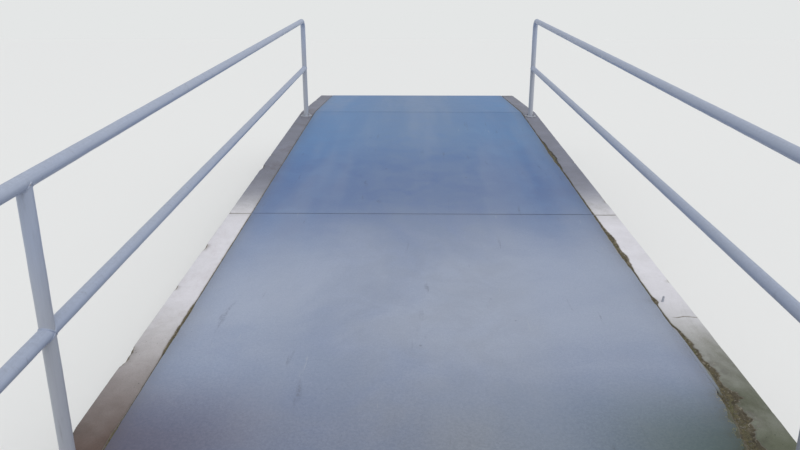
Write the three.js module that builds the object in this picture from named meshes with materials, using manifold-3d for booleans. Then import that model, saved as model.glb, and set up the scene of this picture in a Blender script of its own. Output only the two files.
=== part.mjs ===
// Pedestrian access ramp with pipe handrails: a coated concrete slope between
// two flush side walls, rising to a level landing.
// Millimetres, +Z up, +Y uphill, +X to the right when facing uphill.
// The origin is on the floor, midway along the ramp's length and width.
// A station is a distance from the ramp's foot, measured level.

import * as THREE from 'three';
import Module from 'manifold-3d';
import { mergeVertices } from 'three/addons/utils/BufferGeometryUtils.js';

const wasm = await Module();
wasm.setup();

// Slope and landing
const rampWidth = 2560;
const slopeRun = 7800;
const slopeRise = 650;
const landingLength = 1700;
const toeHeight = 20;
const rampLength = slopeRun + landingLength;

// Concrete pieces
const wallThickness = 150;
const slabThickness = 125;
const endWallThickness = 150;
const coatingThickness = 3;
const slabWidth = rampWidth - 2 * wallThickness;

// Joints across the ramp, filled with a strip of board
const jointWidth = 12;
const jointRecess = 2;
const jointStations = [2000, 4650, slopeRun];

// Handrails
const pipeDiameter = 48.3;
const pipeRadius = pipeDiameter / 2;
const pipeSides = 24;
const topRailHeight = 1000; // plumb, from the surface to the top of the pipe
const midRailHeight = 500; // plumb, from the surface to the pipe's axis
const postOffset = 1195; // from the ramp's middle line to a post's axis
const postStations = [270, 2250, 7590];
const elbowRadius = 76; // of the pipe's axis
const elbowSteps = 8;

// Round plates under the posts
const plateRadius = 58;
const plateThickness = 8;
const plateSides = 32;

const seam = 0.3; // gap between two pieces that touch
const cutterSize = 300; // of the block that trims a post's foot

const slope = Math.atan2(slopeRise, slopeRun);
const uphill = new THREE.Vector3(0, Math.cos(slope), Math.sin(slope));
const slopeNormal = new THREE.Vector3(0, -Math.sin(slope), Math.cos(slope));
const across = new THREE.Vector3(1, 0, 0);
const up = new THREE.Vector3(0, 0, 1);
const down = new THREE.Vector3(0, 0, -1);

const finish = {
  concrete: new THREE.MeshStandardMaterial({ color: 0xa9a69b, roughness: 0.9 }),
  slab: new THREE.MeshStandardMaterial({ color: 0x9d9b93, roughness: 0.92 }),
  fill: new THREE.MeshStandardMaterial({ color: 0x7d7465, roughness: 1 }),
  coating: new THREE.MeshStandardMaterial({ color: 0x8d9db8, roughness: 0.55 }),
  joint: new THREE.MeshStandardMaterial({ color: 0x4a4238, roughness: 0.85 }),
  railPaint: new THREE.MeshStandardMaterial({ color: 0xa9b3c4, roughness: 0.4, metalness: 0.1 }),
};

const ramp = new THREE.Group();
ramp.position.y = -rampLength / 2;

function addPiece(name, geometry, material) {
  const piece = new THREE.Mesh(geometry, material);
  piece.name = name;
  ramp.add(piece);
  return piece;
}

// Joining and cutting of closed shapes

function toSolid(geometry) {
  const bare = geometry.clone();
  bare.deleteAttribute('normal');
  bare.deleteAttribute('uv');
  const welded = mergeVertices(bare);
  return new wasm.Manifold(new wasm.Mesh({
    numProp: 3,
    vertProperties: new Float32Array(welded.attributes.position.array),
    triVerts: new Uint32Array(welded.index.array),
  }));
}

function toGeometry(solid) {
  const mesh = solid.getMesh();
  const geometry = new THREE.BufferGeometry();
  geometry.setAttribute('position', new THREE.BufferAttribute(mesh.vertProperties, 3));
  geometry.setIndex(new THREE.BufferAttribute(mesh.triVerts, 1));
  geometry.computeVertexNormals();
  return geometry;
}

function cutAway(geometry, cutters) {
  let solid = toSolid(geometry);
  for (const cutter of cutters) {
    solid = solid.subtract(toSolid(cutter));
  }
  return toGeometry(solid);
}

// Concrete

function surfaceHeight(station) {
  return toeHeight + (Math.min(station, slopeRun) * slopeRise) / slopeRun;
}

// A side view of [station, height] corners, drawn out across the ramp
function drawAcross(corners, width) {
  const outline = new THREE.Shape(corners.map(([station, height]) => new THREE.Vector2(station, height)));
  const geometry = new THREE.ExtrudeGeometry(outline, { depth: width, bevelEnabled: false });
  geometry.applyMatrix4(new THREE.Matrix4().makeBasis(new THREE.Vector3(0, 1, 0), up, across));
  return geometry;
}

// The side view between two stations, from one depth below the surface to another
function layer(start, end, upperDepth, lowerDepth) {
  return [
    [start, surfaceHeight(start) - lowerDepth],
    [end, surfaceHeight(end) - lowerDepth],
    [end, surfaceHeight(end) - upperDepth],
    [start, surfaceHeight(start) - upperDepth],
  ];
}

// The side view between two stations, from the floor to one depth below the surface
function onFloor(start, end, depth) {
  return [
    [start, 0],
    [end, 0],
    [end, surfaceHeight(end) - depth],
    [start, surfaceHeight(start) - depth],
  ];
}

// The stretches of concrete between the joints, from the foot to the landing's end
function bays() {
  const half = jointWidth / 2;
  const starts = [0, ...jointStations.map((station) => station + half)];
  const ends = [...jointStations.map((station) => station - half), rampLength];
  return starts.map((start, i) => ({ start, end: ends[i], number: i + 1 }));
}

function addWalls({ start, end, number }) {
  const sides = [
    ['left', -rampWidth / 2],
    ['right', rampWidth / 2 - wallThickness + seam],
  ];
  for (const [side, x] of sides) {
    const wall = addPiece(
      `wall_${side}_${number}`,
      drawAcross(onFloor(start, end, 0), wallThickness - seam),
      finish.concrete,
    );
    wall.position.x = x;
  }
}

function addSlab({ start, end, number }) {
  const onGround = number === 1;
  const corners = onGround
    ? onFloor(start, end, coatingThickness)
    : layer(start, end, coatingThickness, slabThickness);
  const slab = addPiece(`slab_${number}`, drawAcross(corners, slabWidth), finish.slab);
  slab.position.x = -slabWidth / 2;
  if (!onGround) {
    addFill(start, end, number);
  }
}

function addFill(start, end, number) {
  const fillEnd = Math.min(end, rampLength - endWallThickness - seam);
  const corners = onFloor(start, fillEnd, slabThickness + seam);
  const fill = addPiece(`fill_${number}`, drawAcross(corners, slabWidth), finish.fill);
  fill.position.x = -slabWidth / 2;
}

function addCoating({ start, end, number }) {
  const corners = layer(start, end, 0, coatingThickness - seam);
  const coating = addPiece(`coating_${number}`, drawAcross(corners, slabWidth), finish.coating);
  coating.position.x = -slabWidth / 2;
}

function addEndWall() {
  const corners = onFloor(rampLength - endWallThickness, rampLength, slabThickness + seam);
  const wall = addPiece('end_wall', drawAcross(corners, slabWidth), finish.concrete);
  wall.position.x = -slabWidth / 2;
}

function addJointStrip(station, number) {
  const height = surfaceHeight(station) - jointRecess;
  const strip = addPiece(
    `joint_strip_${number}`,
    new THREE.BoxGeometry(rampWidth, jointWidth - 2 * seam, height),
    finish.joint,
  );
  strip.position.set(0, station, height / 2);
}

// Handrails

const topAxisHeight = topRailHeight - pipeRadius / Math.cos(slope);

function onRail(x, station, axisHeight) {
  return new THREE.Vector3(x, station, surfaceHeight(station) + axisHeight);
}

function pipe(from, to, radius = pipeRadius, sides = pipeSides) {
  const direction = to.clone().sub(from);
  const geometry = new THREE.CylinderGeometry(radius, radius, direction.length(), sides);
  const turn = new THREE.Quaternion().setFromUnitVectors(new THREE.Vector3(0, 1, 0), direction.normalize());
  geometry.applyQuaternion(turn);
  const middle = from.clone().add(to).multiplyScalar(0.5);
  geometry.translate(middle.x, middle.y, middle.z);
  return geometry;
}

// An arc of the pipe's axis in the plane of stations and heights
class ElbowAxis extends THREE.Curve {
  constructor(x, arc) {
    super();
    this.x = x;
    this.arc = arc;
  }

  getPoint(t, target = new THREE.Vector3()) {
    const point = this.arc.getPoint(t);
    return target.set(this.x, point.x, point.y);
  }
}

// The bend between a post and the top rail. Its corner is where their axes would meet,
// and its reach is how far it extends from there along each of them.
function elbowAt(x, station, alongRail) {
  const corner = onRail(x, station, topAxisHeight);
  const halfAngle = down.angleTo(alongRail) / 2;
  const reach = elbowRadius / Math.tan(halfAngle);
  const centre = down.clone().add(alongRail).normalize();
  centre.multiplyScalar(elbowRadius / Math.sin(halfAngle)).add(corner);
  const postEnd = corner.clone().addScaledVector(down, reach);
  const railEnd = corner.clone().addScaledVector(alongRail, reach);
  const startAngle = Math.atan2(postEnd.z - centre.z, postEnd.y - centre.y);
  const endAngle = Math.atan2(railEnd.z - centre.z, railEnd.y - centre.y);
  const clockwise = alongRail.y > 0;
  const arc = new THREE.EllipseCurve(
    centre.y, centre.z, elbowRadius, elbowRadius, startAngle, endAngle, clockwise,
  );
  return { postEnd, railEnd, axis: new ElbowAxis(x, arc) };
}

function elbow(axis) {
  const section = new THREE.Shape();
  for (let i = 0; i < pipeSides; i += 1) {
    const angle = (2 * Math.PI * i) / pipeSides;
    section[i === 0 ? 'moveTo' : 'lineTo'](pipeRadius * Math.cos(angle), pipeRadius * Math.sin(angle));
  }
  section.closePath();
  return new THREE.ExtrudeGeometry(section, { steps: elbowSteps, extrudePath: axis, bevelEnabled: false });
}

function plateCentre(x, station) {
  const seat = new THREE.Vector3(x, station, surfaceHeight(station));
  return seat.addScaledVector(slopeNormal, seam + plateThickness / 2);
}

function plate(x, station) {
  const centre = plateCentre(x, station);
  const half = plateThickness / 2;
  const lower = centre.clone().addScaledVector(slopeNormal, -half);
  const upper = centre.clone().addScaledVector(slopeNormal, half);
  return pipe(lower, upper, plateRadius, plateSides);
}

// A block whose upper face lies just above a plate, to trim a plumb post to the slope
function footCutter(x, station) {
  const cutter = new THREE.BoxGeometry(cutterSize, cutterSize, cutterSize);
  cutter.rotateX(slope);
  const drop = (cutterSize - plateThickness) / 2 - seam;
  const centre = plateCentre(x, station).addScaledVector(slopeNormal, -drop);
  cutter.translate(centre.x, centre.y, centre.z);
  return cutter;
}

function post(x, station, top, cutters) {
  const foot = new THREE.Vector3(x, station, surfaceHeight(station));
  return cutAway(pipe(foot, top), [footCutter(x, station), ...cutters]);
}

function addRailing(side, x) {
  const last = postStations.length - 1;
  const downhill = uphill.clone().negate();
  const lowerElbow = elbowAt(x, postStations[0], uphill);
  const upperElbow = elbowAt(x, postStations[last], downhill);
  const railFrom = lowerElbow.railEnd.clone().addScaledVector(uphill, seam);
  const railTo = upperElbow.railEnd.clone().addScaledVector(uphill, -seam);

  addPiece(`top_rail_${side}`, pipe(railFrom, railTo), finish.railPaint);
  addPiece(`elbow_${side}_foot`, elbow(lowerElbow.axis), finish.railPaint);
  addPiece(`elbow_${side}_head`, elbow(upperElbow.axis), finish.railPaint);

  const railCutter = pipe(railFrom, railTo, pipeRadius + seam);
  postStations.forEach((station, i) => {
    const elbowEnd = { 0: lowerElbow.postEnd, [last]: upperElbow.postEnd }[i];
    const top = elbowEnd ? elbowEnd.clone().addScaledVector(down, seam) : onRail(x, station, topAxisHeight);
    const cutters = elbowEnd ? [] : [railCutter];
    addPiece(`post_${side}_${i + 1}`, post(x, station, top, cutters), finish.railPaint);
    addPiece(`base_plate_${side}_${i + 1}`, plate(x, station), finish.railPaint);
    if (i > 0) {
      addPiece(`mid_rail_${side}_${i}`, midRail(x, postStations[i - 1], station), finish.railPaint);
    }
  });
}

// A length of mid rail with both ends shaped to the posts that it meets
function midRail(x, start, end) {
  const postCutters = [start, end].map((station) => pipe(
    new THREE.Vector3(x, station, surfaceHeight(station)),
    onRail(x, station, topRailHeight),
    pipeRadius + seam,
  ));
  return cutAway(pipe(onRail(x, start, midRailHeight), onRail(x, end, midRailHeight)), postCutters);
}

for (const bay of bays()) {
  addWalls(bay);
  addSlab(bay);
  addCoating(bay);
}
addEndWall();
jointStations.forEach((station, i) => addJointStrip(station, i + 1));
addRailing('left', -postOffset);
addRailing('right', postOffset);

export default ramp;
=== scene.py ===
# Looks of the access ramp with pipe handrails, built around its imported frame.
# Metres, +Z up, +Y uphill, +X to the right when facing uphill.

import math
import random

import bmesh
import bpy
from mathutils import Matrix, Vector, noise


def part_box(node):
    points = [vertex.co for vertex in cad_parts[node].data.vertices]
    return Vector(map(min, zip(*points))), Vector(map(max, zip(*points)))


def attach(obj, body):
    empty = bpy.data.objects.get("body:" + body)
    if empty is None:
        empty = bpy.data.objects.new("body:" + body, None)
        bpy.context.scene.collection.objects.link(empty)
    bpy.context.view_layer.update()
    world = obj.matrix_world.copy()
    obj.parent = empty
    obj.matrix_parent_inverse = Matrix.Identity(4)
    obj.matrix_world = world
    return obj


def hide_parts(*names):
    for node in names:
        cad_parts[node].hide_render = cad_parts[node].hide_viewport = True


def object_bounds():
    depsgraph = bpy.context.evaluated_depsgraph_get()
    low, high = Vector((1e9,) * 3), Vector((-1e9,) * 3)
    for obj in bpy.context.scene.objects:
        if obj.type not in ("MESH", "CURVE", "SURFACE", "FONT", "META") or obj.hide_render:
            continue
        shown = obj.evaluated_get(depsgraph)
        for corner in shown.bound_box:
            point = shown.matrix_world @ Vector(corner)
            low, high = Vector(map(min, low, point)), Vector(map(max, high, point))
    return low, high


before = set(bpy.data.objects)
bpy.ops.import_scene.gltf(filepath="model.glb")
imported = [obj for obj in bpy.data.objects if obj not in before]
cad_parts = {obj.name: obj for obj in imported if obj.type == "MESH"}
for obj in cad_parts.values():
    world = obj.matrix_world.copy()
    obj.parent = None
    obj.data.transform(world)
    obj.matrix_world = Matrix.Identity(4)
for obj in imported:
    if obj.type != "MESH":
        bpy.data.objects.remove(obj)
cadLow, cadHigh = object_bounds()
print("frame loaded,", len(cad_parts), "nodes")

sideNames = {-1: "left", 1: "right"}


def addObject(name, data):
    item = bpy.data.objects.new(name, data)
    bpy.context.scene.collection.objects.link(item)
    return item


def clamped(value):
    return max(0.0, min(1.0, value))


# The ramp's own surface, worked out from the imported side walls

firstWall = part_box("wall_left_1")
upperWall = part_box("wall_left_3")
rampFoot, rampHead = cadLow.y, cadHigh.y
halfWidth = cadHigh.x
grade = (upperWall[1].z - firstWall[1].z) / (upperWall[1].y - firstWall[1].y)
slope = math.atan(grade)
toeHeight = firstWall[1].z - grade * (firstWall[1].y - rampFoot)
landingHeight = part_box("wall_left_4")[1].z
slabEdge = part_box("slab_1")[1].x
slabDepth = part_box("slab_4")[1].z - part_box("slab_4")[0].z
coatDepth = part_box("coating_4")[1].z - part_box("coating_4")[0].z


def surfaceAt(y):
    return min(toeHeight + grade * (y - rampFoot), landingHeight)


# Camera, at eye height near the foot of the ramp, looking up it

view = {
    "fromFoot": 0.37,
    "aside": -0.073,  # to the left of the middle line
    "eyeHeight": 1.58,  # above the surface
    "tiltDown": 16.9,
    "turnLeft": 0.95,
    "lens": 30.3,
    "sensorWidth": 36.0,
    "farthest": 200,
}


def addCamera():
    data = bpy.data.cameras.new("camera")
    data.lens = view["lens"]
    data.sensor_width = view["sensorWidth"]
    data.sensor_fit = "HORIZONTAL"
    data.clip_end = view["farthest"]
    camera = addObject("camera", data)
    y = rampFoot + view["fromFoot"]
    camera.location = (view["aside"], y, surfaceAt(y) + view["eyeHeight"])
    camera.rotation_euler = (math.radians(90 - view["tiltDown"]), 0, math.radians(view["turnLeft"]))
    bpy.context.scene.camera = camera


addCamera()
bpy.context.scene.view_settings.view_transform = "Standard"
print("camera set")


# Node helpers


class Wire:
    # a node's output, so that what is worked out from several can be written as a sum

    def __init__(self, socket):
        self.socket = socket
        self.tree = socket.id_data

    def __add__(self, other):
        return addMath("ADD", self, other)

    def __sub__(self, other):
        return addMath("SUBTRACT", self, other)

    def __rsub__(self, other):
        return addMath("SUBTRACT", other, self)

    def __mul__(self, other):
        return addMath("MULTIPLY", self, other)

    def __truediv__(self, other):
        return addMath("DIVIDE", self, other)

    def __abs__(self):
        return addMath("ABSOLUTE", self)


def feed(socket, value):
    # sets an input, or links it where the value is a wire
    if isinstance(value, Wire):
        value.tree.links.new(value.socket, socket)
    else:
        socket.default_value = value


def addNode(tree, kind, values=None, **settings):
    # values are for the inputs, by name or number
    node = tree.nodes.new(kind)
    for key, value in settings.items():
        setattr(node, key, value)
    for key, value in (values or {}).items():
        feed(node.inputs[key], value)
    return node


def wireFrom(tree, kind, values=None, output=0, **settings):
    return Wire(addNode(tree, kind, values, **settings).outputs[output])


def wiresOf(node):
    return {socket.name: Wire(socket) for socket in node.outputs}


def treeOf(values):
    return next(value.tree for value in values if isinstance(value, Wire))


def addMath(operation, *values, clamp=False):
    inputs = dict(enumerate(values))
    return wireFrom(treeOf(values), "ShaderNodeMath", inputs, operation=operation, use_clamp=clamp)


def remap(value, low, high, newLow=0.0, newHigh=1.0):
    values = {"Value": value, "From Min": low, "From Max": high, "To Min": newLow, "To Max": newHigh}
    return wireFrom(value.tree, "ShaderNodeMapRange", values, interpolation_type="SMOOTHSTEP")


def spread(value, newLow=0.0, newHigh=1.0):
    # from the range where most values of a noise lie
    return remap(value, 0.3, 0.7, newLow, newHigh)


def mix(factor, first, second, blend="MIX"):
    values = {0: factor, 6: first, 7: second}  # by number, because colours share their names with others
    tree = treeOf(values.values())
    return wireFrom(tree, "ShaderNodeMix", values, 2, data_type="RGBA", blend_type=blend)


def addNoise(vector, scale, detail=3.0, roughness=0.5, distortion=0.0, output="Fac"):
    values = {
        "Vector": vector,
        "Scale": scale,
        "Detail": detail,
        "Roughness": roughness,
        "Distortion": distortion,
    }
    return wireFrom(vector.tree, "ShaderNodeTexNoise", values, output)


def addCells(vector, scale):
    # the distance to the nearest of many scattered points, and a colour by chance for each
    cells = wiresOf(addNode(vector.tree, "ShaderNodeTexVoronoi", {"Vector": vector, "Scale": scale}))
    return cells["Distance"], cells["Color"]


def stretched(vector, scale, turn=(0, 0, 0), shift=(0, 0, 0)):
    values = {"Vector": vector, "Scale": scale, "Rotation": turn, "Location": shift}
    return wireFrom(vector.tree, "ShaderNodeMapping", values)


def partsOf(vector, kind="XYZ"):
    node = addNode(vector.tree, "ShaderNodeSeparate" + kind, {0: vector})
    return [Wire(socket) for socket in node.outputs]


def objectPlace(tree):
    return wireFrom(tree, "ShaderNodeTexCoord", output="Object")


def upwardOf(tree):
    # how far a face looks up, from -1 to 1
    return partsOf(wireFrom(tree, "ShaderNodeNewGeometry", output="Normal"))[2]


def storedMark(tree, name):
    return wireFrom(tree, "ShaderNodeAttribute", output="Fac", attribute_name=name)


def newGroup(name, kind, inputs):
    # inputs are by name, each a value or else the kind of its socket
    tree = bpy.data.node_groups.new(name, kind)
    kinds = {float: "Float", int: "Int", tuple: "Color"}
    for label, value in inputs.items():
        socketKind = kinds.get(type(value), value)
        socket = tree.interface.new_socket(label, in_out="INPUT", socket_type=f"NodeSocket{socketKind}")
        if socketKind is not value:
            socket.default_value = value
    return tree, wiresOf(tree.nodes.new("NodeGroupInput"))


def closeGroup(tree, results):
    # results are wires by name, where Color and Geometry are also the kinds of their sockets
    for label in results:
        socketKind = label if label in ("Color", "Geometry") else "Float"
        tree.interface.new_socket(label, in_out="OUTPUT", socket_type=f"NodeSocket{socketKind}")
    end = tree.nodes.new("NodeGroupOutput")
    for label, value in results.items():
        feed(end.inputs[label], value)
    return tree


def placeGroup(tree, group, values):
    return wiresOf(addNode(tree, "ShaderNodeGroup", values, node_tree=group))


def colour(red, green, blue):
    # from the 0 to 255 values of a screen colour to the linear ones of a shader
    def straighten(value):
        share = value / 255
        return share / 12.92 if share <= 0.04045 else ((share + 0.055) / 1.055) ** 2.4

    return (straighten(red), straighten(green), straighten(blue), 1.0)


# Shader groups that several finishes share

concreteTones = {
    "sand": colour(96, 92, 84),
    "airHole": colour(62, 57, 50),
    "stones": (colour(104, 95, 82), colour(160, 152, 138)),
    "mortar": (colour(76, 67, 52), colour(130, 121, 104)),  # between the stones, where it is broken
}


def makeConcreteGroup():
    # cast concrete: cloudy colour, air holes, drying stains and broken places with their stones
    inputs = {
        "Light": colour(188, 184, 174),
        "Dark": colour(128, 123, 113),
        "Stain": colour(84, 70, 48),
        "Staining": 0.5,
        "Broken": 0.0,
        "Hole Size": 1.0,
    }
    tree, given = newGroup("castConcrete", "ShaderNodeTree", inputs)
    place = objectPlace(tree)
    clouds = addNoise(place, 1.7, 6, 0.62)
    mottle = addNoise(place, 14, 5, 0.7, 0.4)
    sand = addNoise(place, 420, 2, 0.6)
    tone = spread(clouds, 0, 0.6) + remap(mottle, 0.3, 0.72, 0, 0.4)
    body = mix(tone, given["Dark"], given["Light"])
    body = mix(remap(sand, 0.35, 0.7, 0.0, 0.22), body, concreteTones["sand"])

    holeRadius = remap(addNoise(place, 6, 2, 0.5), 0.5, 0.75, 0.0, 0.16) * given["Hole Size"]
    hole = remap(holeRadius - addCells(place, 55)[0], 0.0, 0.05)
    body = mix(hole * 0.75, body, concreteTones["airHole"])

    blotches = addNoise(stretched(place, (1.1, 0.45, 1.6), shift=(3.1, 7.7, 1.3)), 2.3, 7, 0.72, 1.2)
    stainEdge = blotches + addNoise(place, 23, 6, 0.75, 0.8) * 0.22
    stained = remap(stainEdge - (0.68 - given["Staining"] * 0.20), 0.0, 0.20) * given["Staining"]
    body = mix(stained, body, given["Stain"])

    unsteady = addNoise(place, 60, 2, output="Color")
    stoneDistance, stoneChance = addCells(mix(0.012, place, unsteady, "LINEAR_LIGHT"), 74)
    chance, toneChance, _ = partsOf(stoneChance, "Color")
    present = remap(chance, 0.42, 0.5)
    stones = mix(toneChance, *concreteTones["stones"])
    mortar = mix(spread(mottle), *concreteTones["mortar"])
    inside = mix(remap(stoneDistance, 0.46, 0.34) * present, mortar, stones)
    body = mix(given["Broken"], body, inside)

    rough = spread(mottle, 0.78, 0.92) + given["Broken"] * 0.06
    lumps = remap(stoneDistance, 0.5, 0.1, 0.0, 1.5) * present + mottle * 1.2
    relief = mottle * 0.5 + sand * 0.28 - hole * 1.4 + lumps * given["Broken"]
    return closeGroup(tree, {"Color": body, "Roughness": rough, "Height": relief})


railTones = {
    "faded": colour(186, 191, 198),
    "brushMark": colour(108, 118, 136),
    "rustBleed": colour(136, 108, 84),
}


def makePaintGroup():
    # brushed paint on steel: brush marks along the pipe, chips down to primer and rust, settled dirt
    inputs = {
        "Paint": colour(162, 172, 194),
        "Primer": colour(104, 92, 84),
        "Rust": colour(82, 50, 32),
        "Dirt": colour(84, 78, 72),
        "Chipping": 0.5,
        "Wear": 0.0,
        "Settling": 0.5,
    }
    tree, given = newGroup("brushedPaint", "ShaderNodeTree", inputs)
    place = objectPlace(tree)
    lengthAndTurn = {0: storedMark(tree, "along") * 5.0, 1: storedMark(tree, "around") * 40.0}
    brush = addNoise(wireFrom(tree, "ShaderNodeCombineXYZ", lengthAndTurn), 1.0, 4, 0.6)
    cloud = addNoise(place, 3.1, 4, 0.6)
    speckle = addNoise(place, 60, 4, 0.7)
    ragged = addNoise(place, 210, 3, 0.7)
    paint = mix(remap(cloud, 0.35, 0.7, 0.0, 0.16), given["Paint"], railTones["faded"])
    paint = mix(remap(brush, 0.35, 0.75, 0.0, 0.10), paint, railTones["brushMark"])

    dusty = remap(upwardOf(tree), 0.2, 1.0, 0.0, 0.30) * given["Settling"]
    dusty = dusty * remap(speckle, 0.3, 0.65, 0.4, 1.0)
    paint = mix(dusty, paint, given["Dirt"])
    streaks = addNoise(stretched(place, (1, 1, 0.14)), 46, 4, 0.6)
    paint = mix(remap(streaks, 0.58, 0.78, 0.0, 0.25), paint, given["Dirt"])

    chipEdge = speckle + ragged * 0.18 + given["Wear"] * 0.26
    over = chipEdge - (0.90 - given["Chipping"] * 0.08)
    chip = remap(over, 0.0, 0.012)
    body = mix(chip, paint, given["Primer"])
    body = mix(remap(over, 0.022, 0.05), body, given["Rust"])
    bleed = remap(over, -0.045, 0.0, 0.0, 0.28) * (1.0 - chip)
    body = mix(bleed, body, railTones["rustBleed"])

    rough = spread(cloud, 0.34, 0.46) + chip * 0.35 + dusty * 0.7
    return closeGroup(tree, {"Color": body, "Roughness": rough, "Height": brush * 0.35 - chip * 0.6})


deckPlaces = {
    # along the ramp, where each begins and where it is full, and how strong it is at both
    "dustAndLight": (1.7, -2.9, 0.02, 0.95),
    "landing": (0.5, 2.2, 0.0, 0.26),
    "sheenFromFoot": (-2.5, -1.5),
    "sheenFromHead": (0.3, -1.0),
    "soilAndShade": (-1.85, -2.4),
}
deckTones = {
    "cleanAndShaded": (colour(66, 98, 150), colour(84, 116, 163)),
    "dusty": (colour(128, 136, 153), colour(145, 152, 168)),
    "landing": colour(116, 160, 196),
    "paintedSheen": colour(172, 180, 198),
    "pores": colour(66, 76, 96),
    "walked": colour(124, 126, 133),
    "rollerMark": colour(150, 156, 168),
    "scuff": colour(58, 60, 67),
    "scrape": colour(170, 173, 178),
    "spot": colour(70, 69, 70),
    "grime": colour(92, 86, 74),
    "wornThrough": colour(150, 146, 136),
    "soilAndShade": (colour(181, 160, 162), colour(152, 166, 126)),  # soil brought in at the foot, with painted shade over it, left and right
}


def makeDeckGroup():
    # rolled deck paint: bluer with painted shade up the ramp, greyer with dust and painted light towards the
    # foot, and scuffed
    tree, given = newGroup("deckPaint", "ShaderNodeTree", {"Edge": 0.0})
    place = objectPlace(tree)
    x, y, _ = partsOf(place)
    aside = abs(x)
    clouds = addNoise(place, 0.75, 5, 0.6, 0.5)
    mottle = addNoise(place, 4.5, 6, 0.65, 0.6)
    stipple = addNoise(place, 230, 3, 0.6)
    grit = addNoise(place, 90, 4, 0.7)

    cleanAndShaded = mix(spread(mottle), *deckTones["cleanAndShaded"])
    dusty = mix(spread(grit), *deckTones["dusty"])
    # dust that feet bring in, and painted light, towards the foot; clean paint and painted shade up the ramp
    nearFoot = remap(y, *deckPlaces["dustAndLight"])
    dustAndLight = addMath("MULTIPLY", nearFoot, spread(clouds, 0.75, 1.1), clamp=True)
    body = mix(dustAndLight, cleanAndShaded, dusty)
    # painted sheen: bluer and lighter over the landing at the ramp's head
    body = mix(remap(y, *deckPlaces["landing"]), body, deckTones["landing"])
    # painted sheen: a lighter band across the ramp partway up, where light falls brightest
    sheenBand = remap(y, *deckPlaces["sheenFromFoot"]) * remap(y, *deckPlaces["sheenFromHead"])
    sheenBand = sheenBand * remap(clouds, 0.3, 0.65, 0.32, 0.6)
    body = mix(sheenBand, body, deckTones["paintedSheen"])
    body = mix(remap(stipple, 0.35, 0.7, 0.0, 0.14), body, deckTones["pores"])
    lane = remap(aside, 0.9, 0.2, 0.0, 0.26) * remap(mottle, 0.3, 0.65, 0.3, 1.0)
    body = mix(lane, body, deckTones["walked"])
    roller = addNoise(stretched(place, (3.2, 0.35, 1.0)), 1.0, 3, 0.5)
    body = mix(remap(roller, 0.45, 0.7, 0.0, 0.16), body, deckTones["rollerMark"])

    scuffs = addNoise(stretched(place, (7.0, 0.9, 1.0), turn=(0, 0, 0.12)), 2.6, 4, 0.55, 0.3)
    scuffs = remap(scuffs, 0.66, 0.74) * remap(grit, 0.4, 0.6)
    body = mix(scuffs * 0.34, body, deckTones["scuff"])
    scrapes = addNoise(stretched(place, (30, 1.6, 1.0), turn=(0, 0, -0.35)), 2.0, 3, 0.5, 0.2)
    scrapes = remap(scrapes, 0.70, 0.76) * remap(mottle, 0.5, 0.6)
    body = mix(scrapes * 0.35, body, deckTones["scrape"])
    spotRadius = remap(addNoise(place, 2.0, 2, 0.5), 0.5, 0.8, 0.0, 0.11)
    spots = remap(spotRadius - addCells(place, 7)[0], 0.0, 0.03)
    body = mix(spots * 0.35, body, deckTones["spot"])

    grime = given["Edge"] * remap(grit, 0.3, 0.62, 0.35, 1.0)
    body = mix(grime * 0.6, body, deckTones["grime"])
    worn = remap(given["Edge"] * 0.32 + grit * 0.7 + mottle * 0.3, 0.82, 0.86)
    body = mix(worn, body, deckTones["wornThrough"])
    # soil brought in at the foot, and painted shade over the corners nearest the foot, greener on the right
    soilAndShade = remap(y, *deckPlaces["soilAndShade"]) * remap(aside, 0.35, 1.1, 0.25, 1.0)
    soilAndShade = soilAndShade * spread(clouds, 0.85, 1.0)
    body = mix(soilAndShade, body, mix(remap(x, -0.7, 0.7), *deckTones["soilAndShade"]), "MULTIPLY")

    rough = spread(mottle, 0.50, 0.64) + dustAndLight * 0.14 + worn * 0.2
    relief = stipple * 0.45 + mottle * 0.8 - worn * 0.5
    return closeGroup(tree, {"Color": body, "Roughness": rough, "Height": relief})


concreteGroup = makeConcreteGroup()
paintGroup = makePaintGroup()
deckGroup = makeDeckGroup()


# Finishes


def newFinish(name):
    finish = bpy.data.materials.new(name)
    finish.use_nodes = True
    return finish, finish.node_tree, finish.node_tree.nodes["Principled BSDF"]


def connect(shader, surface, depth):
    # surface holds wires by name, and depth is how far its Height reaches
    values = {"Height": surface["Height"], "Distance": depth, "Strength": 1.0}
    bump = wireFrom(shader.id_data, "ShaderNodeBump", values)
    feed(shader.inputs["Base Color"], surface["Color"])
    feed(shader.inputs["Roughness"], surface["Roughness"])
    feed(shader.inputs["Normal"], bump)


concretes = {
    "wall": {
        "light": colour(218, 216, 220),
        "dark": colour(186, 184, 185),
        "staining": 0.34,
        "holeSize": 1.0,
        "boards": 0.145,  # height of a formwork board
    },
    "slab": {
        "light": colour(188, 185, 180),
        "dark": colour(148, 145, 139),
        "staining": 0.5,
        "holeSize": 0.7,
    },
}
wallPlaces = {
    # along the ramp, where each begins and where it is full
    "stain": (-1.3, -2.7),
    "film": (-1.25, -2.45),
    "upper": (-0.3, 0.9),
    "litFromFoot": (-1.75, -1.2),
    "litFromHead": (0.1, -0.3),
    "farShade": (-0.15, 0.45),
    "damp": (0.09, 0.0, 0.0, 0.5),  # in height, and how strong it is at both
}
wallTones = {
    "stain": (colour(124, 98, 84), colour(116, 112, 88)),  # left and right
    "film": (colour(114, 93, 82), colour(118, 125, 101)),  # of dirt and painted shade towards the foot, left and right
    "upper": colour(200, 202, 210),
    "litBand": colour(233, 231, 241),
    "farShade": colour(200, 203, 212),
    "board": colour(110, 106, 98),
    "boardJoint": colour(82, 78, 70),
    "damp": colour(88, 82, 70),
}
# where the coating runs over the right wall, and how dirty it is there
spill = {"from": -2.06, "until": -1.52, "fade": 0.08, "to": 1.137, "grime": 0.55}


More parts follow.
